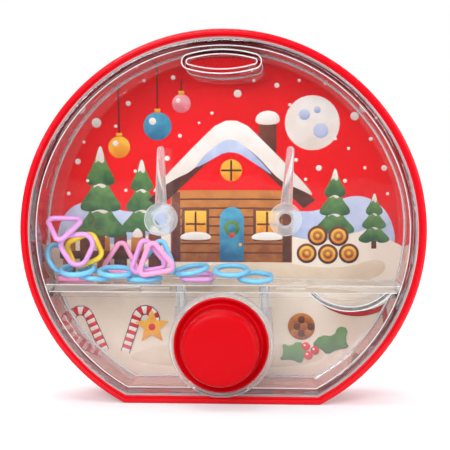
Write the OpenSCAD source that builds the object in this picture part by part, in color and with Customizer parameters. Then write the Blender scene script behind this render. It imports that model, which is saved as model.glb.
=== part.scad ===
// Handheld water game: a clear flat tank in a red tray, with a soft pump button that blows
// loose rings up through the water towards two pegs. Millimetres. The front faces -Y.

/* [Case] */
// Width of the round case
body_w = 120; // [100:1:140]
// Height from the flat base to the top of the arc
body_h = 110.6; // [92:0.1:128]
// Depth of the case, from the window's face to the back
body_d = 26.6; // [25:0.1:32]
// Angle above the widest point at which the lower arcs take over from the top one
join_a = 21.5; // [10:0.5:30]
// How much smaller the radius of the lower arcs is
draw_in = 2.2; // [1:0.1:3]
// Radius of the two corners at the base
base_round = 4; // [3.7:0.1:6]

/* [Rear cover] */
// Thickness of the red wall
cover_wall = 2.3; // [1.8:0.1:2.6]
// Thickness of the red floor
cover_floor = 2.2; // [1.6:0.1:2.6]
// How far the red rim stands back from the window
rim_back = 0.8; // [0.4:0.1:1.4]
// Radius of the bead along the rim
rim_round = 0.9; // [0.3:0.1:1.1]
// Radius of the edge round the back
back_round = 3; // [0.5:0.1:3.5]

/* [Tank] */
// Thickness of the window
window_t = 1.8; // [1.4:0.1:2.2]
// Thickness of the clear wall
tank_wall = 2.25; // [1.8:0.05:2.6]
// Depth from the face of the window to the back plate
tank_depth = 20.3; // [18:0.1:22]
// Thickness of the back plate
plate_t = 1.7; // [1.2:0.1:2]
// Thickness of the printed card
card_t = 0.4; // [0.2:0.1:0.6]

/* [Shelf] */
// Height of its top at the back plate
shelf_back_z = 35.5; // [34:0.1:36]
// Height of its top at the window
shelf_front_z = 35.3; // [34:0.1:35.6]
// Thickness of the shelf
shelf_t = 2; // [1.4:0.1:2.4]
// Width and depth of the slots through which water runs back under the shelf
return_slot = [9, 5];
// Middle of the cradle under the shelf, to the right of the centre line
cradle_x = 37.8; // [34:0.1:39]
// Width and drop of the cradle
cradle_size = [24.7, 5.5];
// Middle of the tray's red band that shows below the cradle
band_x = 41; // [40:0.1:42]
// Height of that band's lowest point
band_z = 24.2; // [23.4:0.1:24.8]

/* [Pump] */
// Height of the pump above the base
pump_z = 18; // [16.9:0.1:18]
// Radius of the soft collar on the window
collar_r = 14.1; // [13:0.1:14.2]
// Radius of the soft cap
cap_r = 11.5; // [10:0.1:11.6]
// How far the cap stands proud of the window
cap_out = 9.5; // [7:0.1:11]
// Distance of each jet from the centre line
jet_x = 12.6; // [12:0.1:14]

/* [Pegs] */
// Distance of each peg from the centre line
peg_x = 18.8; // [16:0.1:22]
// Height of the hubs
peg_z = 54.5; // [50:0.1:60]
// Radius of a hub
hub_r = 4.9; // [4:0.1:5.5]
// Length of a spike above the hub's centre
spike_h = 22; // [16:0.1:24]
// How far the right spike leans out
right_lean = 4; // [0:0.5:8]

/* [Filler] */
// Height of the oval filler sleeve
filler_z = 101; // [99:0.1:101.2]
// Outer width and height of the sleeve
sleeve_size = [23.2, 6.9];
// Thickness of the sleeve's wall
sleeve_wall = 1.2; // [1:0.1:1.3]
// Width and depth of the port from the sleeve into the tank
port_size = [11, 6];

/* [Rings] */
// Diameter of a ring's round section
ring_tube = 1.6; // [1.2:0.1:2]

/* [Hidden] */
$fn = 180;
past = 1;

red = "#d8141f";
clear_front = "#cfe3ea88";
clear_back = "#bcd7e055";
card_red = "#c8202a";
lilac = "#d9a3dc";
pink = "#f59cc8";
blue = "#7cc8ea";
yellow = "#f4d03a";

// The outline: an arc over the top, and on each side a lower arc that runs smoothly out of it
side_r = body_w / 2 - draw_in * cos(join_a);
top_r = side_r + draw_in;
top_at = [0, body_h - top_r];
side_at = top_at + draw_in * [cos(join_a), sin(join_a)];
front_y = (cap_out - body_d) / 2;
fit_gap = 0.15;
tank_inset = cover_wall + fit_gap;
inner_inset = tank_inset + tank_wall;
rebate = 1.4;
tank_end = tank_depth + plate_t;
card_end = tank_end + card_t;
floor_at = body_d - cover_floor;

function ray(a) = [cos(a), sin(a)];
function grown(size, by) = size + 2 * by * [1, 1];

// The base corners: their radius, centre and the direction in which they meet the lower arcs
function corner_r(inset) = max(base_round - inset, 0.8);
function corner_at(inset) = let(r = corner_r(inset), z = inset + r)
    [side_at[0] + sqrt(pow(side_r - inset - r, 2) - pow(side_at[1] - z, 2)), z];
function corner_a(inset) = let(c = corner_at(inset)) atan2(c[1] - side_at[1], c[0] - side_at[0]);

// Extrudes an outline drawn in X and Z from one depth behind the window's face to another
module slab(from, to) {
    translate([0, front_y + to, 0]) rotate([90, 0, 0]) linear_extrude(to - from) children();
}

// Turns a profile drawn as radius and depth about a line square to the window
module turned(x, z) {
    translate([x, front_y, z]) rotate([-90, 0, 0]) rotate_extrude() children();
}

module both_sides() {
    children();
    mirror([1, 0, 0]) children();
}

// All that lies beyond the lower arc on the right, and beyond the corner below it
module beyond_side() {
    polygon([side_at, side_at + body_w * ray(join_a), [body_w, -body_h], [side_at[0], -body_h]]);
}
module beyond_corner(inset) {
    c = corner_at(inset);
    reach = 2.5 * corner_r(inset);
    polygon([c, c + reach * ray(corner_a(inset)), c + reach * [1, -1], c - [0, reach]]);
}

// The outline of the case, drawn in by a distance all round
module outline(inset) {
    difference() {
        translate(top_at) circle(top_r - inset);
        both_sides() difference() {
            beyond_side();
            translate(side_at) circle(side_r - inset);
        }
        translate([-body_w, inset - body_h]) square([2 * body_w, body_h]);
        both_sides() difference() {
            beyond_corner(inset);
            translate(corner_at(inset)) circle(corner_r(inset));
        }
    }
}

// Half the section of a disc between two depths, with its rims rounded in front and behind
module disc_section(r, from, to, front_round, rear_round) {
    difference() {
        translate([0, from]) square([r, to - from]);
        translate([r, from]) beyond_round(front_round, 1, 1);
        translate([r, to]) beyond_round(rear_round, 1, -1);
    }
}

// What a rounding takes off a corner that points along X, and against Y where up is 1
module beyond_round(r, right, up) {
    mirror([right < 0 ? 1 : 0, 0]) mirror([0, up < 0 ? 1 : 0]) difference() {
        translate([-r, -past]) square([r + past, r + past]);
        translate([-r, r]) circle(r);
    }
}

// The outline as a solid between two depths, with the same rounded rim along its arcs and its base:
// a turned disc, from which whatever lies beyond the side arcs, the base and the corners is taken
module rounded_case(inset, from, to, front_round, rear_round) {
    difference() {
        turned(top_at[0], top_at[1]) disc_section(top_r - inset, from, to, front_round, rear_round);
        both_sides() difference() {
            slab(from - past, to + past) beyond_side();
            turned(side_at[0], side_at[1])
                disc_section(side_r - inset, from, to, front_round, rear_round);
        }
        difference() {
            slab(from - past, to + past) translate([-body_w, inset - body_h])
                square([2 * body_w, body_h + rear_round + past]);
            translate([-body_w, front_y, 0]) rotate([90, 0, 90]) linear_extrude(2 * body_w)
                base_section(inset, from, to, front_round, rear_round);
        }
        both_sides() slab(from - past, to + past) difference() {
            beyond_corner(inset);
            translate(corner_at(inset)) circle(corner_r(inset));
        }
    }
}

// The flat base's share of that rim, drawn as depth and height
module base_section(inset, from, to, front_round, rear_round) {
    difference() {
        translate([from, inset]) square([to - from, body_h]);
        translate([from, inset]) beyond_round(front_round, -1, 1);
        translate([to, inset]) beyond_round(rear_round, 1, 1);
    }
}

// An oval of four arcs: two long ones, and a short one round each tip that stands a hair proud of them
tip_share = 0.64;
module oval(size) {
    half_w = size[0] / 2;
    half_h = size[1] / 2;
    tip = tip_share * half_h;
    end = half_w - tip;
    long = 0.98 * (pow(end, 2) + pow(half_h, 2) - pow(tip, 2)) / (2 * (half_h - tip));
    join = end * (1 + tip / norm([end, long - half_h]));
    intersection() {
        translate([0, half_h - long]) circle(long);
        translate([0, long - half_h]) circle(long);
        translate([-join, -half_h]) square([2 * join, 2 * half_h]);
    }
    for (x = [-end, end]) translate([x, 0]) circle(tip);
}

// Snap lugs round the tank, as directions about the centre of the lower arcs. Each one's front face
// bears on its recess in the tray, which holds the tank back against the ribs
lug_angles = [-34, 18, 50];
lug_len = 9;
lug_t = 2.2;
lug_out = 0.7;
lug_depth = 11;
base_lug_x = 20;

module lugs(grow) {
    size = [2 * (lug_out + grow), lug_t + grow, lug_len + 2 * grow];
    both_sides() {
        for (a = lug_angles)
            translate([side_at[0], front_y + lug_depth, side_at[1]]) rotate([0, -a, 0])
                translate([side_r - tank_inset - size[0] / 2, 0, -size[2] / 2]) cube(size);
        translate([base_lug_x - size[2] / 2, front_y + lug_depth, tank_inset - size[0] / 2])
            cube([size[2], size[1], size[0]]);
    }
}

plug_gap = 0.12;
plug_size = grown(sleeve_size, -sleeve_wall - plug_gap);
plug_front = 12;
head_size = sleeve_size + [2.4, 2];
head_t = 1.5;
head_gap = 0.2;

rim_step = 0.7;
rib_t = 1.2;
rib_rings = [18, 38];

// Red tray: one shell with its floor at the back and a beaded rim in front. Its ribs press the card
// on the tank, and two red bands go through the card, behind the sleeve and behind the cradle
module rear_cover() color(red) {
    difference() {
        rounded_case(0, rim_back, body_d, rim_round, back_round);
        slab(-past, floor_at) outline(cover_wall);
        slab(-past, rim_back + rim_step) outline(cover_wall - rim_step);
        slab(floor_at - past, body_d + past) translate([0, filler_z]) oval(grown(plug_size, head_gap));
        slab(body_d - head_t, body_d + past) translate([0, filler_z]) oval(grown(head_size, head_gap));
        lugs(fit_gap);
    }
    slab(card_end, floor_at) translate(top_at) {
        for (r = rib_rings) difference() {
            circle(r + rib_t / 2);
            circle(r - rib_t / 2);
        }
        for (a = [30:60:330]) rotate(a)
            translate([rib_rings[0], -rib_t / 2]) square([rib_rings[1] - rib_rings[0], rib_t]);
    }
    slab(tank_end, floor_at) translate([0, filler_z]) difference() {
        oval(sleeve_size);
        oval(grown(plug_size, head_gap));
    }
    slab(tank_end, floor_at) red_band(0);
}

card_gap = 0.3;
cradle_wall = 1.2;
cradle_drop = cradle_size[1] + shelf_back_z - shelf_front_z;
cradle_r = (pow(cradle_size[0] / 2, 2) + pow(cradle_drop, 2)) / (2 * cradle_drop);
cradle_at = [cradle_x, shelf_back_z - shelf_t - cradle_drop + cradle_r];

// The curved band of the cradle: an arc that hangs from the height of the shelf's underside
module cradle_band(grow) {
    difference() {
        translate(cradle_at) circle(cradle_r + grow);
        translate(cradle_at) circle(cradle_r - cradle_wall - grow);
        translate([0, shelf_back_z - shelf_t + grow]) square([body_w, body_h]);
    }
}

band_r = 17.5;
band_t = 1;
band_end = 49.4;
band_top = 29.4;

// The tray's curved band, which goes through the card below the cradle
module red_band(grow) {
    at = [band_x, band_z + band_r];
    difference() {
        translate(at) circle(band_r + grow);
        translate(at) circle(band_r - band_t - grow);
        translate([0, band_top + grow]) square([body_w, body_h]);
        translate([band_end + grow, 0]) square([body_w, body_h]);
    }
}

// Printed card: a sheet between the tank and the tray's ribs, cut out for the two red bands
module picture_card() color(card_red) {
    slab(tank_end, card_end) difference() {
        outline(inner_inset - 1);
        translate([0, filler_z]) oval(grown(sleeve_size, card_gap));
        red_band(card_gap);
    }
}

post_r = 2;
post_foot = [2.6, 2.9];
hub_front = 8.2;
hub_len = 4.4;

// Clear back plate: let into the tank's wall and welded, with a stepped post for each peg
module tank_back() color(clear_back) {
    slab(tank_depth, tank_end) difference() {
        outline(inner_inset - rebate);
        translate([0, filler_z]) oval(sleeve_size);
    }
    for (side = [-1, 1]) turned(side * peg_x, peg_z) {
        translate([0, hub_front + 0.6]) square([post_r, hub_len]);
        polygon([[0, hub_front + hub_len], [post_foot[0], hub_front + hub_len],
            [post_foot[1], tank_depth + plate_t / 2], [0, tank_depth + plate_t / 2]]);
    }
}

pump_r = 12.1;
pump_wall = 1.3;
lip_r = collar_r + fit_gap;
lip_wall = 1.4;
lip_h = 1.2;
cap_hole = cap_r + 0.4;
jet_r = 1.6;
jet_bore = 0.7;
jet_depth = 11;
socket_top = 27.6;
socket_seat = 3;
socket_r = 2.6;
feed_r = 0.9;
inlet_r = 1.5;
port_from = 4;
ledge = 1.6;
ledge_t = 1.5;

// Clear window and wall in one moulding, with the pump's cylinder and its lip, the jets' sockets, the
// filler's sleeve, and a cradle and ledges that the shelf rests on
module tank_front() color(clear_front) {
    difference() {
        union() {
            difference() {
                rounded_case(tank_inset, 0, tank_end, 1.2, 0.3);
                slab(window_t, tank_end + past) outline(inner_inset);
                slab(tank_depth, tank_end + past) outline(inner_inset - rebate);
            }
            intersection() {
                pump_walls();
                slab(-5, tank_depth) outline(tank_inset);
            }
            slab(window_t / 2, tank_end) translate([0, filler_z]) difference() {
                oval(sleeve_size);
                oval(grown(sleeve_size, -sleeve_wall));
            }
            shelf_rests();
            lugs(0);
        }
        turned(0, pump_z) translate([0, -past]) square([cap_hole, window_t + past]);
        both_sides() translate([jet_x, front_y + jet_depth, 0]) {
            translate([0, 0, socket_top - socket_seat]) cylinder(r = jet_r + 0.03, h = 2 * socket_seat);
            translate([0, 0, pump_z]) cylinder(r = feed_r, h = socket_top - pump_z);
        }
        translate([0, front_y + tank_depth - 4, pump_z]) rotate([0, -90, 0])
            cylinder(r = inlet_r, h = pump_r + 3);
        slab(port_from, port_from + port_size[1])
            translate([-port_size[0] / 2, filler_z - sleeve_size[1]]) square([port_size[0], sleeve_size[1]]);
    }
}

// The pump's cylinder from the window to the back plate, the lip round the button, and the sockets
module pump_walls() {
    turned(0, pump_z) {
        translate([lip_r, -lip_h]) square([lip_wall, lip_h + window_t / 2]);
        translate([pump_r, window_t / 2]) square([pump_wall, tank_depth - window_t / 2]);
    }
    difference() {
        both_sides() translate([jet_x, front_y + jet_depth, pump_z])
            cylinder(r1 = socket_r, r2 = jet_r + 0.7, h = socket_top - pump_z);
        turned(0, pump_z) square([pump_r + pump_wall / 2, tank_depth]);
    }
}

// What the shelf rests on: a ledge along the window and at each end, and the cradle's curved wall
module shelf_rests() {
    intersection() {
        below_shelf();
        union() {
            slab(window_t / 2, tank_depth) difference() {
                ledge_strip();
                outline(inner_inset + ledge);
            }
            slab(window_t / 2, window_t + ledge) ledge_strip();
            slab(window_t / 2, tank_depth) intersection() {
                cradle_band(0);
                outline(tank_inset + tank_wall / 2);
            }
        }
    }
}

module ledge_strip() {
    intersection() {
        outline(tank_inset + tank_wall / 2);
        translate([-body_w, shelf_front_z - shelf_t - ledge_t]) square([2 * body_w, 2 * ledge_t]);
    }
}

// The side view of the shelf's slope, from the window to the back plate, at a height below its top
shelf_fall = (shelf_back_z - shelf_front_z) / tank_depth;
module below_shelf() {
    translate([-body_w, front_y, 0]) rotate([90, 0, 90]) linear_extrude(2 * body_w)
        polygon([[-5, 0], [tank_end, 0], [tank_end, shelf_z(tank_end) - shelf_t], [-5, shelf_z(-5) - shelf_t]]);
}
function shelf_z(depth) = shelf_front_z + shelf_fall * depth;

slot_x = 16;
slot_from = 13.3;

// Clear shelf: a plate that falls towards the window, with a hole for each jet and two slots
// through which the water runs back down
module shelf() color(clear_back) {
    gap = 0.1;
    intersection() {
        slab(window_t + gap, tank_depth - gap) outline(inner_inset + gap);
        difference() {
            translate([-body_w, front_y, 0]) rotate([90, 0, 90]) linear_extrude(2 * body_w)
                polygon([[0, shelf_z(0)], [tank_depth, shelf_z(tank_depth)],
                    [tank_depth, shelf_z(tank_depth) - shelf_t], [0, shelf_z(0) - shelf_t]]);
            both_sides() {
                translate([jet_x, front_y + jet_depth, 0]) cylinder(r = jet_r + 0.1, h = body_h);
                translate([slot_x, front_y + slot_from, 0]) cube([return_slot[0], return_slot[1], body_h]);
            }
        }
    }
}

// Clear jet: a short tube with a nozzle, seated in its socket and let into the shelf
module jet(side) {
    seat = socket_top - socket_seat;
    top = shelf_z(jet_depth) - 0.6;
    translate([side * jet_x, front_y + jet_depth, 0]) rotate_extrude()
        polygon([[jet_bore, seat], [jet_r, seat], [jet_r, top - 0.8], [jet_bore + 0.4, top], [jet_bore, top]]);
}
module jet_left() color(clear_front) jet(-1);
module jet_right() color(clear_front) jet(1);

spike_r = 1.95;
tip_r = 1.1;

// Clear peg: a hub pushed on its post, with a tapered spike that ends in a ball
module peg(x, lean) {
    translate([x, 0, peg_z]) rotate([0, lean, 0]) translate([-x, 0, -peg_z]) difference() {
        union() {
            turned(x, peg_z) translate([0, hub_front]) square([hub_r, hub_len]);
            translate([x, front_y + hub_front + hub_len / 2, peg_z]) {
                cylinder(r1 = spike_r, r2 = tip_r, h = spike_h - tip_r);
                translate([0, 0, spike_h - tip_r]) sphere(tip_r);
            }
        }
        turned(x, peg_z) translate([0, hub_front - past]) square([post_r + 0.03, hub_len + 2 * past]);
    }
}
module peg_left() color(clear_front) peg(-peg_x, 0);
module peg_right() color(clear_front) peg(peg_x, right_lean);

// Soft collar of the button: seated on the window inside the lip, dished towards the cap
module button_skirt() color(red) {
    turned(0, pump_z) polygon([[cap_r + 0.3, 0], [cap_r + 0.3, -0.5], [cap_r + 0.9, -0.6],
        [collar_r - 0.9, -1.5], [collar_r - 0.4, -1.6], [collar_r, -1.2], [collar_r, 0]]);
}

cap_wall = 1.8;
cap_edge = 1.6;
cap_foot = 1;

// Soft cap of the button: a thick cup with a rounded front edge
module button_cap() color(red) {
    turned(0, pump_z) difference() {
        cap_section(cap_r, -cap_out, cap_edge);
        cap_section(cap_r - cap_wall, cap_wall - cap_out, cap_edge / 2);
    }
}

module cap_section(r, from, edge) {
    difference() {
        translate([0, from]) square([r, cap_foot - from]);
        translate([r - edge, from - past]) square([edge + past, edge + past]);
    }
    intersection() {
        translate([r - edge, from + edge]) circle(edge);
        translate([0, from]) square([r, 2 * edge]);
    }
}

// Red filler stopper: an oval body in the sleeve, with a head let into the back of the tray
module filler_plug() color(red) {
    slab(plug_front, body_d - head_t / 2) translate([0, filler_z]) oval(plug_size);
    slab(body_d - head_t, body_d) translate([0, filler_z]) difference() {
        oval(head_size);
        translate([0, -head_size[1] / 2]) circle(2.2);
    }
}

// A loop of round section with equal rounded corners, facing the window. Its path is an arc at each
// corner, and the stretches between the arcs are straight
tube_sides = 10;
function loop_path(corners, reach, corner_r, steps) = [
    for (i = [0:corners - 1]) for (j = [0:steps])
        let(middle = 90 + i * 360 / corners, a = middle + (j / steps - 0.5) * 360 / corners)
        [reach * ray(middle) + corner_r * ray(a), a]];

module loop(corners, reach, corner_r, steps) {
    path = loop_path(corners, reach, corner_r, steps);
    count = len(path);
    points = [for (p = path) for (k = [0:tube_sides - 1])
        let(b = k * 360 / tube_sides, r = ring_tube / 2, at = p[0] + r * cos(b) * ray(p[1]))
        [at[0], r * sin(b), at[1]]];
    faces = [for (i = [0:count - 1]) for (k = [0:tube_sides - 1])
        let(n = (i + 1) % count, m = (k + 1) % tube_sides)
        each [[i * tube_sides + k, n * tube_sides + k, n * tube_sides + m],
            [i * tube_sides + k, n * tube_sides + m, i * tube_sides + m]]];
    polyhedron(points, faces);
}

module round_loop() {
    rotate([90, 0, 0]) rotate_extrude() translate([4.85, 0]) circle(ring_tube / 2);
}
module triangle_loop() loop(3, 3.9, 1.5, 8);
module egg_loop() loop(3, 2.1, 3, 9);
module square_loop() loop(4, 3.2, 2.2, 6);
module hexagon_loop() loop(6, 2.6, 2.4, 4);

// Puts a loop that faces the window at a place, as X, depth and Z: spun in its own plane, then turned
// about X, Y and Z by three angles
module placed(at, spin, angles) {
    translate([at[0], front_y + at[1], at[2]]) rotate(angles) rotate([0, spin, 0]) children();
}

module ring_lilac_drop() color(lilac) placed([-48, 6.9, 52.4], 186, [-48, -3, 0]) triangle_loop();
module ring_lilac_egg() color(lilac) placed([-43.8, 6.7, 45.9], 176, [0, 0, 0]) egg_loop();
module ring_yellow_square() color(yellow) placed([-42.3, 10.9, 45], 15, [-26, 3, 0]) square_loop();
module ring_blue_upright() color(blue) placed([-50.6, 14.3, 42], 0, [-29, 0, 60]) round_loop();
module ring_blue_leaning() color(blue) placed([-43.9, 8, 39.3], 0, [-76, -2, 0]) round_loop();
module ring_blue_under() color(blue) placed([-39.3, 10.2, 37.6], 0, [-81, 8, 0]) round_loop();
module ring_pink_flat() color(pink) placed([-45.6, 13.9, 36.4], 0, [-89, 0, 0]) round_loop();
module ring_blue_oval() color(blue) placed([-32.2, 7.6, 38.8], 0, [-80, 2, 0]) round_loop();
module ring_pink_arch() color(pink) placed([-32.4, 19.1, 41.2], 4, [0, 0, 0]) triangle_loop();
module ring_blue_flat() color(blue) placed([-23.8, 9.6, 36.6], 0, [-90, -1, 0]) round_loop();
module ring_pink_triangle() color(pink) placed([-19.8, 3.1, 42.3], -10, [0, 0, 0]) triangle_loop();
module ring_lilac_triangle() color(lilac) placed([-22.3, 5, 42.9], -10, [0, 0, 0]) triangle_loop();
module ring_blue_triangle() color(blue) placed([-19.2, 6.9, 42.6], 8, [0, 0, 0]) triangle_loop();
module ring_blue_edge() color(blue) placed([-9.6, 10.3, 39.2], 0, [-82, -10, 0]) round_loop();
module ring_lilac_square() color(lilac) placed([-7.8, 11.1, 37], 45, [-84, 2, 0]) square_loop();
module ring_blue_round() color(blue) placed([2.6, 8.2, 39.2], 0, [-78, 0, 0]) round_loop();
module ring_blue_hexagon() color(blue) placed([9.9, 8.1, 37.2], 0, [-80, 0, 0]) hexagon_loop();

rear_cover();
picture_card();
tank_back();
tank_front();
shelf();
jet_left();
jet_right();
peg_left();
peg_right();
button_skirt();
button_cap();
filler_plug();
ring_lilac_drop();
ring_lilac_egg();
ring_yellow_square();
ring_blue_upright();
ring_blue_leaning();
ring_blue_under();
ring_pink_flat();
ring_blue_oval();
ring_pink_arch();
ring_blue_flat();
ring_pink_triangle();
ring_lilac_triangle();
ring_blue_triangle();
ring_blue_edge();
ring_lilac_square();
ring_blue_round();
ring_blue_hexagon();
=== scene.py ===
# A handheld water game, dressed for its photograph. Metres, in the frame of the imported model:
# X to the right, -Y out of the window and Z up from the flat base.
import bpy
import bmesh
import math
from mathutils import Matrix, Vector


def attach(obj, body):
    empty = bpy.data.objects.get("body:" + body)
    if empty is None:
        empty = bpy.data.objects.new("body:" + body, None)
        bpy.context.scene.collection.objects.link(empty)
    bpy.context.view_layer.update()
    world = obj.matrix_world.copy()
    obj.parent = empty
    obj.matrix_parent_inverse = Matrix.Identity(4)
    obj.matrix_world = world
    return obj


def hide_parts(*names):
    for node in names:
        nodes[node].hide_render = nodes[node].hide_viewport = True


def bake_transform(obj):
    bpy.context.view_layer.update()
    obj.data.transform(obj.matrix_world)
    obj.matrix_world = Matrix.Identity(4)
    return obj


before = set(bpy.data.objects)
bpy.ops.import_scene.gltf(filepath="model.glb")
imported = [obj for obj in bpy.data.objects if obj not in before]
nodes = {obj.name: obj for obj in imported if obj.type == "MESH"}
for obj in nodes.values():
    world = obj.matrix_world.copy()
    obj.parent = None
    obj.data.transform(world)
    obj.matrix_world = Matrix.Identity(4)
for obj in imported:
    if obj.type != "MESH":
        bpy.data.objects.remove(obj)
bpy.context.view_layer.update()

# Camera: close to the game, a little above its middle and to its right, with a long lens. Its lens,
# distance and turn are those at which the case's outline falls on the one in the photograph.
MM = 0.001
WINDOW_Y = -8.55 * MM
TURN = 2.85
scene = bpy.context.scene
scene.view_settings.view_transform = "Standard"
lens = bpy.data.cameras.new("camera")
lens.sensor_width = 36
lens.lens = 78.7
camera = bpy.data.objects.new("camera", lens)
camera.location = (15.4 * MM, WINDOW_Y - 287.3 * MM, 67.6 * MM)
camera.rotation_euler = (math.radians(90 - TURN), 0, math.radians(TURN))
scene.collection.objects.link(camera)
scene.camera = camera


# Studio: a white table that runs on into a white background, under large soft lamps: one overhead
# to the left, one in front to the left, a weaker one to the right, and one behind the game that
# lights the edges of the clear parts.
def tone(hex_colour):
    """An sRGB hex colour in the linear values that shaders take."""
    parts = [int(hex_colour[i:i + 2], 16) / 255 for i in (1, 3, 5)]
    return [c / 12.92 if c <= 0.04045 else ((c + 0.055) / 1.055) ** 2.4 for c in parts] + [1.0]


def add(tree, kind, inputs=None, **settings):
    """One node, with its settings, and with a value or a link for each input that is named."""
    node = tree.nodes.new(kind)
    for name, value in settings.items():
        setattr(node, name, value)
    for name, value in (inputs or {}).items():
        if isinstance(value, bpy.types.NodeSocket):
            tree.links.new(value, node.inputs[name])
        else:
            node.inputs[name].default_value = value
    return node


def fresh(name):
    material = bpy.data.materials.new(name)
    material.use_nodes = True
    material.node_tree.nodes.clear()
    return material, material.node_tree


def either_ray(tree, first, second):
    """One for a ray of either kind, and nought for any other."""
    path = add(tree, "ShaderNodeLightPath")
    one, other = path.outputs[f"Is {first} Ray"], path.outputs[f"Is {second} Ray"]
    return add(tree, "ShaderNodeMath", {0: one, 1: other}, operation="MAXIMUM").outputs[0]


def solid(bm, name, *materials):
    """A piece made of a finished bmesh. Its object stays at the origin."""
    mesh = bpy.data.meshes.new(name)
    bm.to_mesh(mesh)
    bm.free()
    piece = bpy.data.objects.new(name, mesh)
    scene.collection.objects.link(piece)
    for material in materials:
        mesh.materials.append(material)
    return piece


# The room: even and faintly blue as a light, and pure white where it is seen itself. Its far side, which
# the window faces, looks dim in the plastic, so that the window mirrors little light
world = bpy.data.worlds.new("white studio")
world.use_nodes = True
world.node_tree.nodes.clear()
air = world.node_tree
lit = add(air, "ShaderNodeBackground", {"Color": tone("#f4f7ff"), "Strength": 0.55})
seen = add(air, "ShaderNodeBackground", {"Color": tone("#ffffff"), "Strength": 1.0})
directly = either_ray(air, "Camera", "Transmission")
sky = add(air, "ShaderNodeMixShader", {0: directly, 1: lit.outputs[0], 2: seen.outputs[0]})
facing = add(air, "ShaderNodeSeparateXYZ", {"Vector": add(air, "ShaderNodeTexCoord").outputs["Generated"]})
dimness = add(air, "ShaderNodeMapRange", {"Value": facing.outputs["Y"], "From Min": -0.8, "From Max": -0.93})
by_plastic = either_ray(air, "Glossy", "Transmission")
mirrored = add(air, "ShaderNodeMath", {0: dimness.outputs[0], 1: by_plastic}, operation="MULTIPLY")
dim = add(air, "ShaderNodeBackground", {"Color": tone("#ffffff"), "Strength": 0.06})
room = add(air, "ShaderNodeMixShader", {0: mirrored.outputs[0], 1: sky.outputs[0], 2: dim.outputs[0]})
add(air, "ShaderNodeOutputWorld", {"Surface": room.outputs[0]})
scene.world = world

# The table: matt white card, which fades into the background between FADE_FROM and FADE_TO from its
# middle. It too looks dim in the plastic where it lies in front of the game
FADE_FROM, FADE_TO = 0.12, 0.5
DIM_FROM, DIM_TO = -0.07, -0.16
paper, tree = fresh("white table")
glow = add(tree, "ShaderNodeEmission", {"Color": tone("#ffffff"), "Strength": 1.2})
matt = add(tree, "ShaderNodeBsdfDiffuse", {"Color": tone("#efeff0")})
place = add(tree, "ShaderNodeTexCoord").outputs["Object"]
away = add(tree, "ShaderNodeVectorMath", {0: place}, operation="LENGTH")
blank = add(tree, "ShaderNodeMapRange", {"Value": away.outputs["Value"], "From Min": FADE_FROM,
                                         "From Max": FADE_TO, "To Min": 0.2})
directly = either_ray(tree, "Camera", "Transmission")
faded = add(tree, "ShaderNodeMath", {0: directly, 1: blank.outputs[0]}, operation="MULTIPLY")
lit_paper = add(tree, "ShaderNodeMixShader", {0: faded.outputs[0], 1: matt.outputs[0], 2: glow.outputs[0]})
shade = add(tree, "ShaderNodeEmission", {"Color": tone("#ffffff"), "Strength": 0.18})
depth = add(tree, "ShaderNodeSeparateXYZ", {"Vector": place}).outputs["Y"]
forward = add(tree, "ShaderNodeMapRange", {"Value": depth, "From Min": DIM_FROM, "From Max": DIM_TO})
by_plastic = either_ray(tree, "Glossy", "Transmission")
in_front = add(tree, "ShaderNodeMath", {0: by_plastic, 1: forward.outputs[0]}, operation="MULTIPLY")
top = add(tree, "ShaderNodeMixShader", {0: in_front.outputs[0], 1: lit_paper.outputs[0], 2: shade.outputs[0]})
add(tree, "ShaderNodeOutputMaterial", {"Surface": top.outputs[0]})
bm = bmesh.new()
bmesh.ops.create_grid(bm, x_segments=1, y_segments=1, size=4)
table = solid(bm, "table", paper)


def lamp(name, at, towards, size, power):
    light = bpy.data.lights.new(name, "AREA")
    light.shape = "RECTANGLE"
    light.size, light.size_y = size
    light.energy = power
    holder = bpy.data.objects.new(name, light)
    holder.location = at
    holder.rotation_euler = (Vector(towards) - Vector(at)).to_track_quat("-Z", "Y").to_euler()
    scene.collection.objects.link(holder)


lamp("overhead", (-0.08, 0.03, 0.55), (0, 0, 0.05), (0.5, 0.4), 2.0)
lamp("front", (-0.22, -0.6, 0.42), (0, 0, 0.05), (0.5, 0.28), 3.6)
lamp("right_fill", (0.46, -0.3, 0.22), (0, 0, 0.05), (0.3, 0.4), 1.2)
lamp("behind", (0.05, 0.42, 0.36), (0, 0, 0.06), (0.6, 0.25), 1.3)

# Rear tray: one red shell of gloss polystyrene, moulded with a rounded back edge and a bead along
# its rim. The mould's polish leaves a very faint orange peel, drawn as coarse as it needs to show,
# and the red drifts a little from place to place.
DRIFT = 14 * MM


def moulded(name, colour, shade, rough, grain_mm, depth_mm, inputs=None):
    """A moulded plastic whose colour drifts between two close ones, with grain of a given size and depth."""
    material, tree = fresh(name)
    where = add(tree, "ShaderNodeTexCoord").outputs["Object"]
    grain = add(tree, "ShaderNodeTexNoise", {"Vector": where, "Scale": 1 / (grain_mm * MM), "Detail": 2.0})
    bump = add(tree, "ShaderNodeBump", {"Height": grain.outputs["Fac"], "Distance": depth_mm * MM,
                                        "Strength": 1.0})
    cloud = add(tree, "ShaderNodeTexNoise", {"Vector": where, "Scale": 1 / DRIFT, "Detail": 2.0})
    mixed = add(tree, "ShaderNodeMix", {0: cloud.outputs["Fac"]}, data_type="RGBA")
    mixed.inputs[6].default_value = tone(colour)
    mixed.inputs[7].default_value = tone(shade)
    settings = {"Base Color": mixed.outputs[2], "Roughness": rough, "IOR": 1.5, "Specular IOR Level": 0.25,
                "Normal": bump.outputs[0]}
    settings.update(inputs or {})
    body = add(tree, "ShaderNodeBsdfPrincipled", settings)
    add(tree, "ShaderNodeOutputMaterial", {"Surface": body.outputs[0]})
    return material


def dress(node, material):
    """Gives a node of the frame its material."""
    mesh = nodes[node].data
    mesh.materials.clear()
    mesh.materials.append(material)


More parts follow.
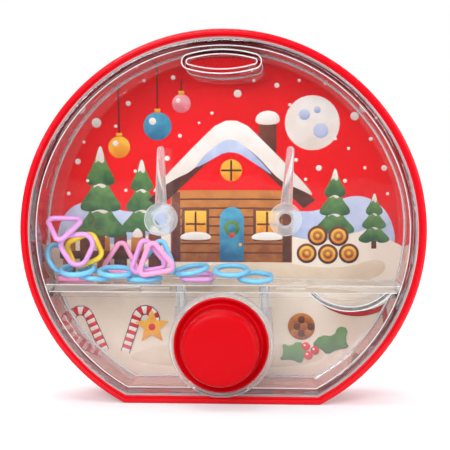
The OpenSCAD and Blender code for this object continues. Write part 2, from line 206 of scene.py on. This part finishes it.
red_styrene = moulded("red polystyrene, gloss moulded", "#d8071a", "#cf0516", 0.2, 1.1, 0.004)
dress("rear_cover", red_styrene)

# Tank, shelf, jets and pegs: water-clear polystyrene, polished by the mould, with slow waves along
# its flow lines. Its flat walls mirror the card behind the tank. Its rounded edges, and plastic that
# light has run along inside it, look pale: a white milk is painted into them, a painted sheen that stands
# for the white room mirrored at a glancing angle, and a painted glow that stands for light run along inside.

# The size of one wave, and the power with which the painted milk sets in towards a glancing angle
FLOW, GLANCING = 7 * MM, 3.0
# The painted milk takes its light from a direction mixed of the surface's own and of the window's or the
# back's
OWN_SHARE, LEAN = 0.55, 0.85


def clear_styrene(name, tint, rough, wave_mm, glancing_sheen, cloud=0.0, turns=1.5):
    """Polystyrene with a white milk painted into it: painted sheen that grows towards a glancing angle and,
    by cloud, shows at any angle. Light that the plastic has mirrored more than that many turns leaves it as
    a pale painted glow, which stands for light piped along inside the plastic."""
    material, tree = fresh(name)
    where = add(tree, "ShaderNodeTexCoord").outputs["Object"]
    wave = add(tree, "ShaderNodeTexNoise", {"Vector": where, "Scale": 1 / FLOW, "Detail": 1.0})
    bump = add(tree, "ShaderNodeBump", {"Height": wave.outputs["Fac"], "Distance": wave_mm * MM,
                                        "Strength": 1.0})
    body = add(tree, "ShaderNodeBsdfPrincipled", {"Base Color": tone(tint), "Roughness": rough, "IOR": 1.59,
                                                  "Transmission Weight": 1.0, "Normal": bump.outputs[0]})
    through = add(tree, "ShaderNodeBsdfTransparent", {"Color": tone("#ffffff")})
    facing = add(tree, "ShaderNodeLayerWeight").outputs["Facing"]
    graze = add(tree, "ShaderNodeMath", {0: facing, 1: GLANCING}, operation="POWER")
    edge = add(tree, "ShaderNodeMath", {0: graze.outputs[0], 1: glancing_sheen, 2: cloud}, operation="MULTIPLY_ADD",
               use_clamp=True)
    # The painted milk is lit as if it lay in the depth of the plastic: its normals lean to the window and
    # to the back, so light reaches it through the window and from behind
    normal = add(tree, "ShaderNodeNewGeometry").outputs["Normal"]
    own = add(tree, "ShaderNodeVectorMath", {0: normal, "Scale": OWN_SHARE}, operation="SCALE")
    turned = []
    for lean in (-LEAN, LEAN):
        leaning = add(tree, "ShaderNodeVectorMath", {0: own.outputs[0], 1: (0, lean, 0)}, operation="ADD")
        unit = add(tree, "ShaderNodeVectorMath", {0: leaning.outputs[0]}, operation="NORMALIZE")
        turned.append(unit.outputs[0])
    front = add(tree, "ShaderNodeBsdfDiffuse", {"Color": tone("#ffffff"), "Normal": turned[0]})
    rear = add(tree, "ShaderNodeBsdfTranslucent", {"Color": tone("#ffffff"), "Normal": turned[1]})
    painted_milk = add(tree, "ShaderNodeMixShader", {0: 0.5, 1: front.outputs[0], 2: rear.outputs[0]})
    edged = add(tree, "ShaderNodeMixShader", {0: edge.outputs[0], 1: body.outputs[0], 2: painted_milk.outputs[0]})
    # Painted glow: past that many mirrorings, the plastic shows a share of the painted milk
    mirrorings = add(tree, "ShaderNodeLightPath").outputs["Glossy Depth"]
    deep = add(tree, "ShaderNodeMath", {0: mirrorings, 1: turns}, operation="GREATER_THAN")
    painted_glow = add(tree, "ShaderNodeMixShader", {0: 0.25, 1: through.outputs[0], 2: painted_milk.outputs[0]})
    guided = add(tree, "ShaderNodeMixShader", {0: deep.outputs[0], 1: edged.outputs[0], 2: painted_glow.outputs[0]})
    # It throws no shadow of its own: the lamps light the card and the rings straight through it
    lets_by = either_ray(tree, "Shadow", "Diffuse")
    both = add(tree, "ShaderNodeMixShader", {0: lets_by, 1: guided.outputs[0], 2: through.outputs[0]})
    add(tree, "ShaderNodeOutputMaterial", {"Surface": both.outputs[0]})
    return material


# Points closer than ONE_POINT are one, and faces that turn by less than ONE_PLANE are one. The edge between
# two faces is drawn smooth below the second angle, and is a sharp edge of the mould above the third
ONE_POINT = 2e-6
ONE_PLANE, SMOOTH, SHARP = math.radians(0.5), math.radians(12), math.radians(35)


def eased(node, radius_mm, *materials):
    """The moulding with its sharp edges rounded, as a polished mould leaves them, so that they catch the
    light. The lip round the button, which stands out of the window, is rounded twice as much. Rounded
    edges, and all other faces that slope forwards, get the last material, whose milky white is painted sheen."""
    bm = bmesh.new()
    bm.from_mesh(nodes[node].data)
    bmesh.ops.remove_doubles(bm, verts=bm.verts, dist=ONE_POINT)
    bmesh.ops.dissolve_limit(bm, angle_limit=ONE_PLANE, verts=bm.verts, edges=bm.edges)
    sharp = [edge for edge in bm.edges if edge.is_manifold and edge.calc_face_angle() > SHARP]
    lip = [edge for edge in sharp if all(v.co.y < WINDOW_Y - 1 * MM for v in edge.verts)]
    others = [edge for edge in sharp if edge not in lip]
    last = len(materials) - 1
    for group, radius, segments in ((others, radius_mm, 2), (lip, 2 * radius_mm, 4)):
        rounded = bmesh.ops.bevel(bm, geom=group, offset=radius * MM, affect="EDGES", segments=segments,
                                  profile=0.5, material=-1, clamp_overlap=True)
        for face in rounded["faces"]:
            face.material_index = last
    for edge in bm.edges:
        edge.smooth = edge.is_manifold and edge.calc_face_angle() < SMOOTH
    for face in bm.faces:
        face.smooth = True
        # Faces that slope forwards get the milky last material: painted sheen on them
        slopes_forward = 0.15 < -face.normal.y < 0.97
        if slopes_forward:
            face.material_index = last
    piece = solid(bm, "clear_" + node, *materials)
    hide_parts(node)
    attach(piece, "case")


tank_clear = clear_styrene("clear polystyrene, tank", "#fdfefe", 0.02, 0.02, 0.02)
peg_clear = clear_styrene("clear polystyrene, pegs and jets", "#f6fbfc", 0.2, 0.01, 0.8, 0.16)
# The rounded edges' plastic is milkier: a painted sheen, standing for the light their curves catch
edge_sheen_clear = clear_styrene("clear polystyrene, rounded edges", "#ffffff", 0.12, 0.02, 0.5, 0.3, 0.5)
for node in ("tank_front", "tank_back", "shelf"):
    eased(node, 0.3, tank_clear, edge_sheen_clear)
for node in ("jet_left", "jet_right", "peg_left", "peg_right"):
    eased(node, 0.2, peg_clear)

# Beads: where the back plate was welded to the tank's wall, the sleeve and the cradle, a thin line of
# melted plastic stands in the corner. Finer lines stand where those walls rise from the window, and where
# the shelf was cemented in. Their white is a painted highlight, standing for the light caught along those
# corners.

# Depths just inside the back plate and the window, in mm
PLATE, WINDOW = 20.1, 1.9
# The arcs of the wall's inside: middles, radii, and the angle at which the side arc takes over
TOP_MIDDLE, SIDE_MIDDLE = (0, 50.45), (2.05, 51.26)
TOP_WALL, SIDE_WALL, TAKES_OVER = 55.25, 53.05, 21.5
CRADLE_MIDDLE = (37.8, 44.2)
# The filler's sleeve: its height, and how far the middles of its tips and of its long arcs are from it
FILLER_Z, TIP_X, LONG_OFF = 101, 9.5, 32.02


def arc(x, z, r, a, b, n):
    """The points of an arc in mm about (x, z), from a to b degrees in n steps."""
    turns = [math.radians(a + (b - a) * i / n) for i in range(n + 1)]
    return [(x + r * math.cos(turn), z + r * math.sin(turn)) for turn in turns]


def half_outline(grow, end, top_steps, side_steps):
    """The right half of the wall's inside: an arc over the top, and a smaller one that runs out of it."""
    return (arc(*TOP_MIDDLE, TOP_WALL + grow, 90, TAKES_OVER, top_steps)
            + arc(*SIDE_MIDDLE, SIDE_WALL + grow, TAKES_OVER, end, side_steps)[1:])


def both_halves(half):
    return half + [(-x, z) for x, z in reversed(half)][:-1]


def sleeve_oval(grow):
    """The outside of the filler's sleeve: a long arc above and below, and a short one round each tip."""
    tip, long = 2.1 + grow, 35.47 + grow
    return (arc(TIP_X, FILLER_Z, tip, -73, 73, 10)
            + arc(0, FILLER_Z - LONG_OFF, long, 73.5, 106.5, 12)[1:-1]
            + arc(-TIP_X, FILLER_Z, tip, 107, 253, 10)
            + arc(0, FILLER_Z + LONG_OFF, long, 253.5, 286.5, 12)[1:-1])


wall_line = both_halves(half_outline(0, -60.8, 30, 40))
cradle_line = arc(*CRADLE_MIDDLE, 16.25, -139, -41, 24)
cradle_inside = arc(*CRADLE_MIDDLE, 14.95, -135, -45, 24)
# Name, line, depth behind the window's face and radius, in mm
highlight_beads = [
    ("weld_wall", wall_line, PLATE, 0.3),
    ("weld_sleeve", sleeve_oval(0.1), PLATE, 0.22),
    ("foot_sleeve_outer", sleeve_oval(0.05), WINDOW, 0.2),
    ("foot_sleeve_inner", sleeve_oval(-1.25), WINDOW, 0.18),
    ("weld_cradle", cradle_line, PLATE, 0.2),
    ("foot_cradle", cradle_line, WINDOW, 0.18),
    ("foot_cradle_inner", cradle_inside, WINDOW, 0.14),
    ("foot_wall", wall_line, WINDOW, 0.15),
    ("cement_top", [(-52.2, 35.35), (52.2, 35.35)], WINDOW, 0.12),
    ("cement_foot", [(-51.4, 33.3), (51.4, 33.3)], WINDOW, 0.12),
    ("cement_rear", [(-52.2, 35.5), (52.2, 35.5)], PLATE + 0.1, 0.14),
]
# The beads' white is a painted highlight: milky plastic that stands for the light caught in those corners
painted_highlight = clear_styrene("clear polystyrene, melted in the weld", "#ffffff", 0.3, 0.02, 0.4, 0.85, 0.5)
for name, run, depth, thick in highlight_beads:
    bead = bpy.data.curves.new(name, "CURVE")
    bead.dimensions = "3D"
    bead.bevel_depth = thick * MM
    bead.bevel_resolution = 2
    line = bead.splines.new("POLY")
    line.points.add(len(run) - 1)
    for point, (x, z) in zip(line.points, run):
        point.co = (x * MM, WINDOW_Y + depth * MM, z * MM, 1)
    line.use_cyclic_u = "wall" in name or "sleeve" in name
    bead.materials.append(painted_highlight)
    piece = bpy.data.objects.new(name, bead)
    scene.collection.objects.link(piece)
    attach(piece, "case")

# Pump button: one soft moulding of red PVC, a dished collar that lies on the window and a cap that
# is pressed in. It has a fine satin skin, and a groove where the cap joins the collar, where the soft
# moulding bends when pressed.
button_z = 18 * MM
# Radius and depth in mm, from the middle of the cap's face out over the collar, and back inside the cap
section = [
    (0, -9.55), (4, -9.52), (8, -9.42), (9.6, -9.22), (10.5, -8.85), (11.05, -8.2), (11.3, -7.2), (11.42, -5),
    (11.5, -2.6), (11.6, -1.3), (11.85, -0.75), (12.3, -0.65), (12.9, -1.0), (13.3, -1.45), (13.7, -1.62),
    (14.0, -1.42), (14.1, -1.0), (14.1, -0.02), (11.6, -0.02), (10.9, -0.35), (10.2, -1.2), (9.9, -2.6),
    (9.8, -5), (9.6, -7), (8.8, -7.6), (4, -7.75), (0, -7.75)]
bm = bmesh.new()
line = [bm.verts.new((r * MM, WINDOW_Y + d * MM, button_z)) for r, d in section]
edges = [bm.edges.new(pair) for pair in zip(line, line[1:])]
bmesh.ops.spin(bm, geom=line + edges, cent=(0, 0, button_z), axis=(0, 1, 0), angle=math.tau, steps=96,
               use_merge=True)
bmesh.ops.remove_doubles(bm, verts=bm.verts, dist=1e-7)
bmesh.ops.recalc_face_normals(bm, faces=bm.faces)
for face in bm.faces:
    face.smooth = True
soft_red = moulded("red soft PVC, satin", "#c4000d", "#bc000c", 0.34, 0.45, 0.006,
                   {"Subsurface Weight": 0.08, "Subsurface Radius": (0.002, 0.0004, 0.0003),
                    "Specular IOR Level": 0.1})
button = solid(bm, "pump_button", soft_red)
soft_form = button.modifiers.new("soft form", "SUBSURF")
soft_form.levels = soft_form.render_levels = 1
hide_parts("button_cap", "button_skirt")
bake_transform(button)

# Stopper: an oval plug of the same soft PVC as the button, pushed into the filler's sleeve from
# behind. Its head lies let into the tray's back, with a notch by which it is prised out.
dress("filler_plug", soft_red)

# Rings: small loops of coloured polyethylene, round or with three, four or six rounded corners.
# They are a little waxy, so light sinks into them. They lie loose on the shelf.
TUBE = 0.8 * MM


def loop(corners, reach, radius):
    """A closed tube with rounded corners of that radius, each at that reach from its middle, in mm. With one
    corner and no reach it is a round ring."""
    bm = bmesh.new()
    start = math.pi / 2 - math.pi / corners
    out = Vector((math.cos(start), 0, math.sin(start)))
    along = Vector((-math.sin(start), 0, math.cos(start)))
    turn = Matrix((out, Vector((0, 1, 0)), along)).transposed().to_4x4()
    centre = Vector((0, 0, reach * MM))
    bmesh.ops.create_circle(bm, segments=16, radius=TUBE,
                            matrix=Matrix.Translation(centre + out * radius * MM) @ turn)
    ends = list(bm.verts) + list(bm.edges)
    side = 2 * reach * MM * math.sin(math.pi / corners)
    for i in range(corners):
        middle = math.pi / 2 + i * math.tau / corners
        centre = Vector((math.cos(middle), 0, math.sin(middle))) * reach * MM
        ends = bmesh.ops.spin(bm, geom=ends, cent=centre, axis=(0, -1, 0), angle=math.tau / corners,
                              steps=max(4, 36 // corners))["geom_last"]
        if side > 0:
            last = middle + math.pi / corners
            rim = [e for e in ends if isinstance(e, bmesh.types.BMEdge)]
            ends = bmesh.ops.extrude_edge_only(bm, edges=rim)["geom"]
            ends = [e for e in ends if not isinstance(e, bmesh.types.BMFace)]
            bmesh.ops.translate(bm, verts=[v for v in ends if isinstance(v, bmesh.types.BMVert)],
                                vec=Vector((-math.sin(last), 0, math.cos(last))) * side)
    bmesh.ops.remove_doubles(bm, verts=bm.verts, dist=1e-6)
    bmesh.ops.recalc_face_normals(bm, faces=bm.faces)
    for face in bm.faces:
        face.smooth = True
    return bm


def waxy(name, colour, shade):
    return moulded(name, colour, shade, 0.3, 0.9, 0.006,
                   {"Subsurface Weight": 0.25, "Subsurface Radius": (0.0012,) * 3,
                    "Coat Weight": 0.15, "Coat Roughness": 0.15})


ring_colours = {
    "blue": waxy("blue polyethylene", "#7fcdf0", "#74c4ea"),
    "pink": waxy("pink polyethylene", "#fbabd3", "#f79fca"),
    "lilac": waxy("lilac polyethylene", "#e2a6df", "#d99ad8"),
    "yellow": waxy("yellow polyethylene", "#f7dc3c", "#f2d22c"),
}
# Corners, their reach and their radius
shapes = {"round": (1, 0, 4.85), "triangle": (3, 3.9, 1.5), "egg": (3, 2.1, 3), "square": (4, 3.2, 2.2),
          "hexagon": (6, 2.6, 2.4)}
# Name, shape, X, depth and Z in mm, spin in its own plane, then tilt about X, Y and Z, in degrees
rings = [
    ("lilac_drop", "triangle", (-48, 6.9, 52.4), 186, (-48, -3, 0)),
    ("lilac_egg", "egg", (-43.8, 6.7, 45.9), 176, (0, 0, 0)),
    ("yellow_square", "square", (-42.3, 10.9, 45), 15, (-26, 3, 0)),
    ("blue_upright", "round", (-50.6, 14.3, 42), 0, (-29, 0, 60)),
    ("blue_leaning", "round", (-43.9, 8, 39.3), 0, (-76, -2, 0)),
    ("blue_under", "round", (-39.3, 10.2, 37.6), 0, (-81, 8, 0)),
    ("pink_flat", "round", (-45.6, 13.9, 36.4), 0, (-89, 0, 0)),
    ("blue_oval", "round", (-32.2, 7.6, 38.8), 0, (-80, 2, 0)),
    ("pink_arch", "triangle", (-32.4, 19.1, 41.2), 4, (0, 0, 0)),
    ("blue_flat", "round", (-23.8, 9.6, 36.6), 0, (-90, -1, 0)),
    ("pink_triangle", "triangle", (-19.8, 3.1, 42.3), -10, (0, 0, 0)),
    ("lilac_triangle", "triangle", (-22.3, 5, 42.9), -10, (0, 0, 0)),
    ("blue_triangle", "triangle", (-19.2, 6.9, 42.6), 8, (0, 0, 0)),
    ("blue_edge", "round", (-9.6, 10.3, 39.2), 0, (-82, -10, 0)),
    ("lilac_square", "square", (-7.8, 11.1, 37), 45, (-84, 2, 0)),
    ("blue_round", "round", (2.6, 8.2, 39.2), 0, (-78, 0, 0)),
    ("blue_hexagon", "hexagon", (9.9, 8.1, 37.2), 0, (-80, 0, 0)),
]
for name, shape, (x, depth, z), spin, tilt in rings:
    bm = loop(*shapes[shape])
    place = Matrix.Translation((x * MM, WINDOW_Y + depth * MM, z * MM))
    for axis in (2, 1, 0):
        place = place @ Matrix.Rotation(math.radians(tilt[axis]), 4, "XYZ"[axis])
    place = place @ Matrix.Rotation(math.radians(spin), 4, "Y")
    bm.transform(place)
    colour = name.split("_")[0]
    ring = solid(bm, "loop_" + name, ring_colours[colour])
    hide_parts("ring_" + name)
    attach(ring, name)

# Picture card: a printed sheet behind the clear back plate, cut out for the tray's two red bands.
# The print is a cabin in the snow, in flat inks with dark outlines. Each area of ink is a film about a
# thousandth of a millimetre thick, laid over the ones before it and brushed darker towards its foot.
CARD_Y = WINDOW_Y + 22.25 * MM
FILM_STEP, FILM_THICK = 0.0019 * MM, 0.0012 * MM
# Width of the dark outlines in mm
RIM = 0.35


def ink(name, colour, shade, grain_mm=4.0):
    """Its shade gathers at the foot of each area, and in brush marks of the grain's size."""
    material, tree = fresh(name)
    where = add(tree, "ShaderNodeTexCoord").outputs["Object"]
    wash = add(tree, "ShaderNodeTexNoise", {"Vector": where, "Scale": 1 / (grain_mm * MM), "Detail": 5.0,
                                            "Roughness": 0.62})
    spread = add(tree, "ShaderNodeMapRange", {"Value": wash.outputs["Fac"], "From Min": 0.36,
                                              "From Max": 0.64})
    rise = add(tree, "ShaderNodeAttribute", attribute_name="rise").outputs["Fac"]
    fall = add(tree, "ShaderNodeMath", {0: rise, 1: -0.85, 2: 0.7}, operation="MULTIPLY_ADD")
    brushed = add(tree, "ShaderNodeMath", {0: spread.outputs[0], 1: 0.45, 2: fall.outputs[0]},
                  operation="MULTIPLY_ADD", use_clamp=True)
    mixed = add(tree, "ShaderNodeMix", {0: brushed.outputs[0], 6: tone(colour), 7: tone(shade)},
                data_type="RGBA")
    body = add(tree, "ShaderNodeBsdfPrincipled", {"Base Color": mixed.outputs[2], "Roughness": 0.5,
                                                  "Specular IOR Level": 0.1})
    add(tree, "ShaderNodeOutputMaterial", {"Surface": body.outputs[0]})
    return material


inks = {
    "sky": ink("red ink", "#f6030f", "#e2020e", 11.0),
    "line": ink("dark outline ink", "#4b1d1b", "#5e2a22"),
    "snow": ink("white ink", "#fbf5ee", "#e2d2c6", 6.0),
    "cream": ink("warm cream ink", "#f7e8d6", "#e9d5bf", 7.0),
    "drift": ink("beige ink", "#ead5bd", "#d6b998", 6.0),
    "frost": ink("blue-grey ink", "#d3daf0", "#97a6d0", 5.0),
    "bark": ink("dark brown ink", "#824435", "#43201c"),
    "timber": ink("warm brown ink", "#cf8242", "#8a4620"),
    "amber": ink("amber ink", "#ffc94d", "#e0801a"),
    "fir": ink("green ink", "#79a45c", "#2f5a3a"),
    "teal": ink("blue ink", "#55a9c8", "#1f5f85"),
    "berry": ink("bright red ink", "#f43038", "#b00c17"),
    "rose": ink("pink ink", "#f7adb3", "#d2606f"),
}
print_order = list(inks)
bm = bmesh.new()
rise = bm.verts.layers.float.new("rise")
films = 0


def outline(points):
    """The corners of one film, each with its height within it, by which the ink is shaded."""
    low, high = min(z for x, z in points), max(z for x, z in points)
    corners = []
    for x, z in points:
        corners.append(bm.verts.new((x * MM, CARD_Y - films * FILM_STEP, z * MM)))
        corners[-1][rise] = (z - low) / (high - low)
    return corners


def sheet(outlines, colour):
    """An area with cut-outs, filled between its outlines."""
    global films
    films += 1
    lines = []
    for points in outlines:
        corners = outline(points)
        lines += [bm.edges.new(pair) for pair in zip(corners, corners[1:] + corners[:1])]
    filled = bmesh.ops.triangle_fill(bm, edges=lines, use_beauty=True, use_dissolve=False, normal=(0, -1, 0))
    for face in filled["geom"]:
        if isinstance(face, bmesh.types.BMFace):
            face.material_index = print_order.index(colour)


def film(points, colour, rim=RIM):
    """One flat area of ink, drawn as X and Z in mm on top of those before it, with a dark rim."""
    global films
    films += 1
    area = bm.faces.new(outline(points))
    area.normal_update()
    if area.normal.y > 0:
        area.normal_flip()
    area.material_index = print_order.index(colour)
    if rim:
        border = bmesh.ops.inset_region(bm, faces=[area], thickness=rim * MM, use_even_offset=True)["faces"]
        for face in border:
            face.material_index = print_order.index("line")


def soft_film(points, colour, rim=RIM, rounds=3):
    """A film whose outline has had its corners cut until it reads as a curve."""
    for _ in range(rounds):
        points = [((1 - t) * a[0] + t * b[0], (1 - t) * a[1] + t * b[1])
                  for a, b in zip(points, points[1:] + points[:1]) for t in (0.25, 0.75)]
    film(points, colour, rim)


def disc(x, z, r, colour, rim=RIM, n=28):
    turns = [math.tau * i / n for i in range(n)]
    film([(x + r * math.cos(turn), z + r * math.sin(turn)) for turn in turns], colour, rim)


def box(x0, z0, x1, z1, colour, rim=RIM):
    film([(x0, z0), (x1, z0), (x1, z1), (x0, z1)], colour, rim)


def fir_tree(x, z, wide, tall):
    """A trunk and three boughs, each with snow on it."""
    box(x - wide * 0.07, z, x + wide * 0.07, z + tall * 0.2, "bark")
    for share, low, high in ((1.0, 0.12, 0.55), (0.78, 0.36, 0.78), (0.55, 0.6, 1.0)):
        w = wide * share / 2
        foot, tip = z + tall * low, z + tall * high
        middle = (foot + tip) / 2
        soft_film([(x - w, foot + 0.6), (x - w * 0.45, foot - 0.7), (x, foot + 0.5),
                   (x + w * 0.45, foot - 0.7), (x + w, foot + 0.6), (x + w * 0.35, middle), (x, tip),
                   (x - w * 0.35, middle)], "fir", rounds=2)
        soft_film([(x - w * 0.36, middle - 0.6), (x - w * 0.12, middle + 0.8), (x + w * 0.1, middle - 0.4),
                   (x + w * 0.3, middle + 0.6), (x, tip - 0.2)], "snow", 0, 2)


def cane(x, z, height, lean, flip):
    """A striped stick with a hooked end: short lengths of alternate inks on a wider dark one."""
    hook, half, dark_half = 3, 1.25, 1.5
    line = [(0, t * height / 10) for t in range(11)]
    line += [(flip * (hook - hook * math.cos(a)), height + hook * math.sin(a))
             for a in (0.45, 0.9, 1.35, 1.8, 2.25, 2.7, 3.1)]
    cos, sin = math.cos(math.radians(lean)), math.sin(math.radians(lean))
    line = [(x + a * cos - b * sin, z + a * sin + b * cos) for a, b in line]
    sides = []
    for i, (a, b) in enumerate(line):
        c, d = line[max(i - 1, 0)], line[min(i + 1, len(line) - 1)]
        length = math.hypot(d[0] - c[0], d[1] - c[1])
        nx, nz = -(d[1] - c[1]) / length, (d[0] - c[0]) / length
        sides.append([(a + out * nx, b + out * nz) for out in (half, -half, dark_half, -dark_half)])
    film([s[2] for s in sides] + [s[3] for s in reversed(sides)], "line", 0)
    for i, (s, t) in enumerate(zip(sides, sides[1:])):
        film([s[0], t[0], t[1], s[1]], "berry" if i % 2 else "snow", 0)


# The sheet itself, with its cut-outs for the band behind the sleeve and the one below the cradle
sheet_line = both_halves(half_outline(1.2, -58.5, 24, 28) + [(28.6, 3.8)])
band_line = arc(41, 41.7, 17.8, -137.6, -60.7, 24) + arc(41, 41.7, 16.2, -57.5, -132.2, 24)
sheet((sheet_line, sleeve_oval(0.3), band_line), "sky")

# A moon, far hills, and near snow with two drifts
disc(27, 84, 8.5, "snow")
disc(24.5, 86.5, 1.7, "frost", 0)
disc(29.5, 81.5, 2.3, "frost", 0)
disc(28.5, 88, 1.1, "frost", 0)
soft_film([(-53.5, 40), (-52, 56), (-41, 61), (-30, 55), (-18, 60), (-4, 54), (12, 60), (27, 55), (40, 63),
           (51, 57), (53.5, 42), (30, 36), (-30, 36)], "frost")
low = arc(*SIDE_MIDDLE, 53.2, -6, -58, 24)
near_snow = ([(-x, z) for x, z in low] + [(-27.5, 5), (27.5, 5)] + list(reversed(low))
             + [(44, 51), (30, 47), (14, 50), (-3, 46), (-20, 50), (-36, 46), (-45, 50)])
sheet((near_snow, band_line), "cream")
soft_film([(-50, 37), (-34, 41), (-12, 38), (10, 42), (34, 38), (50, 43), (49, 35), (20, 33), (-25, 33)],
          "drift", 0)
soft_film([(-33, 10), (-20, 15), (0, 12), (24, 16), (34, 11), (20, 7), (-18, 7)], "drift", 0)

# Trees behind the cabin
fir_tree(-26, 47, 15, 27)
fir_tree(34, 47, 14, 24)
fir_tree(46, 45, 11, 18)

# Log cabin: chimney, wall, roof with its snow, round window, two lit windows, and a door with a wreath
box(10.5, 70, 16, 84.5, "bark")
soft_film([(9.3, 83.4), (17.2, 83.4), (16.6, 87), (13, 88), (9.8, 86.6)], "snow", rounds=2)
box(-17, 40.5, 21, 63, "timber")
for z in (43.2, 46, 48.8, 51.6, 54.4, 57.2, 60):
    box(-16.7, z, 20.7, z + 0.45, "line", 0)
for x in (-16.6, 18):
    box(x, 40.8, x + 2.6, 62.5, "bark")
film([(-24, 60), (2, 84), (28, 60), (24.5, 57.5), (2, 78.5), (-20.5, 57.5)], "bark")
soft_film([(-25, 60.5), (-12, 74.5), (2, 88), (16, 74.5), (29, 60.5), (23, 63.5), (17, 66), (10, 74),
           (2, 79.5), (-5, 75), (-10, 69), (-16, 66.5)], "snow", rounds=2)
soft_film([(-10, 69.5), (-5, 75.5), (2, 80), (9, 74.5), (16, 66.8), (10, 71), (2, 76), (-6, 71.5)],
          "frost", 0, 2)
disc(2, 69.2, 3.4, "amber")
box(1.7, 66, 2.3, 72.4, "line", 0)
box(-1.2, 68.9, 5.2, 69.5, "line", 0)
for x in (-12.6, 9.8):
    box(x - 0.9, 47.2, x + 7.7, 57.6, "bark")
    box(x, 48.2, x + 6.8, 56.6, "amber")
    box(x + 3.1, 48.5, x + 3.7, 56.3, "line", 0)
    box(x + 0.3, 52.1, x + 6.5, 52.7, "line", 0)
    soft_film([(x - 1.6, 47.4), (x + 8.4, 47.4), (x + 8, 49.4), (x + 3.4, 50.2), (x - 1.2, 49.2)],
              "snow", rounds=2)
film([(-1.6, 40.8), (6, 40.8), (6, 54)] + arc(2.2, 54, 3.8, 0, 180, 12)[1:], "teal")
disc(2.2, 51.2, 2.5, "fir")
disc(2.2, 51.2, 1.2, "teal")
disc(2.2, 48.9, 0.8, "berry", 0.2)
disc(4.9, 46, 0.5, "amber", 0.15)

# Sawn logs by the wall, a fence on the left and a small tree in front of it
for x, z in ((25.5, 43.5), (32, 43.3), (38.4, 43.5), (28.8, 49), (35.2, 48.9)):
    disc(x, z, 3.1, "bark")
    disc(x, z, 2.3, "amber", 0)
    disc(x, z, 1.5, "timber", 0.2)
    disc(x, z, 0.6, "amber", 0)
for i in range(6):
    x, taller = -51 + 5.4 * i, i % 2
    film([(x, 37), (x + 4, 37), (x + 4, 48 + taller), (x + 2, 50.4 + taller), (x, 48 + taller)],
         "bark" if taller else "timber")
    soft_film([(x - 0.4, 48.2 + taller), (x + 4.4, 48.2 + taller), (x + 2, 52 + taller)], "snow", rounds=2)
box(-52, 41.5, -20, 44, "bark")
fir_tree(-39, 44.5, 19, 34)

# Glass balls on strings, and falling snow
balls = [(-21, 83, 4.4, "teal", 103), (-33, 76.5, 3.4, "amber", 95), (-13.5, 90, 2.9, "rose", 97.5)]
for x, z, r, colour, top in balls:
    box(x - 0.2, z + r, x + 0.2, top, "line", 0)
    disc(x, z, r, colour)
    disc(x - r * 0.35, z + r * 0.35, r * 0.25, "snow", 0)
    box(x - 0.9, z + r - 0.3, x + 0.9, z + r + 1, "amber", 0.2)
flakes = [
    (-40, 84, 1.5), (-46, 72, 0.9), (-43, 66, 0.5), (-30, 90, 0.8), (-25, 97, 0.5), (-38, 91, 0.5),
    (-3, 98, 0.6), (4, 93, 1.2), (9, 97, 0.5), (16, 95.5, 0.8), (23, 97, 0.5), (36, 93, 0.6), (40, 86, 1.3),
    (45, 79, 0.6), (49, 70, 0.9), (38, 76, 0.5), (43, 70, 0.5), (22, 72.5, 0.6), (29, 70, 0.9),
    (-14, 80, 0.6), (-28, 69, 0.5), (-18, 73, 0.8), (-4, 87, 0.5), (20, 89.5, 0.5), (34, 79, 0.5),
    (-49, 62, 0.6), (-34, 83, 0.5), (-44, 78, 0.5), (50, 62, 0.5), (-16, 98, 0.7), (31, 96, 0.4),
    (46, 85, 0.4), (-8, 84, 0.4), (25, 66.5, 0.5), (37, 66, 0.6), (-31, 63, 0.5)]
for x, z, r in flakes:
    disc(x, z, r, "snow", 0, n=14)

# Under the shelf: striped canes, a star, a pine cone and holly on the snow
cane(-38, 12.5, 12, 24, -1)
cane(-31.5, 12, 12, -18, 1)
points = [((5.6, 2.6)[i % 2], math.tau * i / 10) for i in range(10)]
film([(-23 + r * math.sin(a), 20 + r * math.cos(a)) for r, a in points], "amber", 0.4)
disc(-23, 20, 1.1, "berry", 0.2)
disc(24, 20.5, 4.2, "timber")
for i in range(3):
    for j in range(3):
        scale = "bark" if (i + j) % 2 else "timber"
        disc(21.9 + 2.1 * j + (i % 2) * 0.8, 18.4 + 2.1 * i, 1.2, scale, 0.2, n=12)
soft_film([(27, 14.5), (30, 18), (34, 17.5), (35.5, 21), (38.5, 20), (37.5, 16.5), (39, 14), (35, 13.5),
           (32, 11.6), (30, 13.6)], "fir", rounds=1)
soft_film([(26, 14), (23, 16), (20.5, 14), (18, 15.2), (18.6, 11.8), (17, 9.6), (21, 10), (24, 8.6),
           (25, 11)], "fir", rounds=1)
for x, z in ((25.4, 14.2), (28.2, 13), (26.2, 11.4)):
    disc(x, z, 1.35, "berry", 0.25)
    disc(x - 0.4, z + 0.4, 0.35, "snow", 0, n=10)

# Every film faces the window, and gets its thickness
for face in bm.faces:
    face.normal_update()
    if face.normal.y > 0:
        face.normal_flip()
back = bmesh.ops.extrude_face_region(bm, geom=list(bm.faces), use_keep_orig=True)["geom"]
bmesh.ops.translate(bm, verts=[v for v in back if isinstance(v, bmesh.types.BMVert)], vec=(0, FILM_THICK, 0))
bmesh.ops.recalc_face_normals(bm, faces=bm.faces)
card = solid(bm, "printed_card", *inks.values())
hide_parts("picture_card")
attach(card, "case")
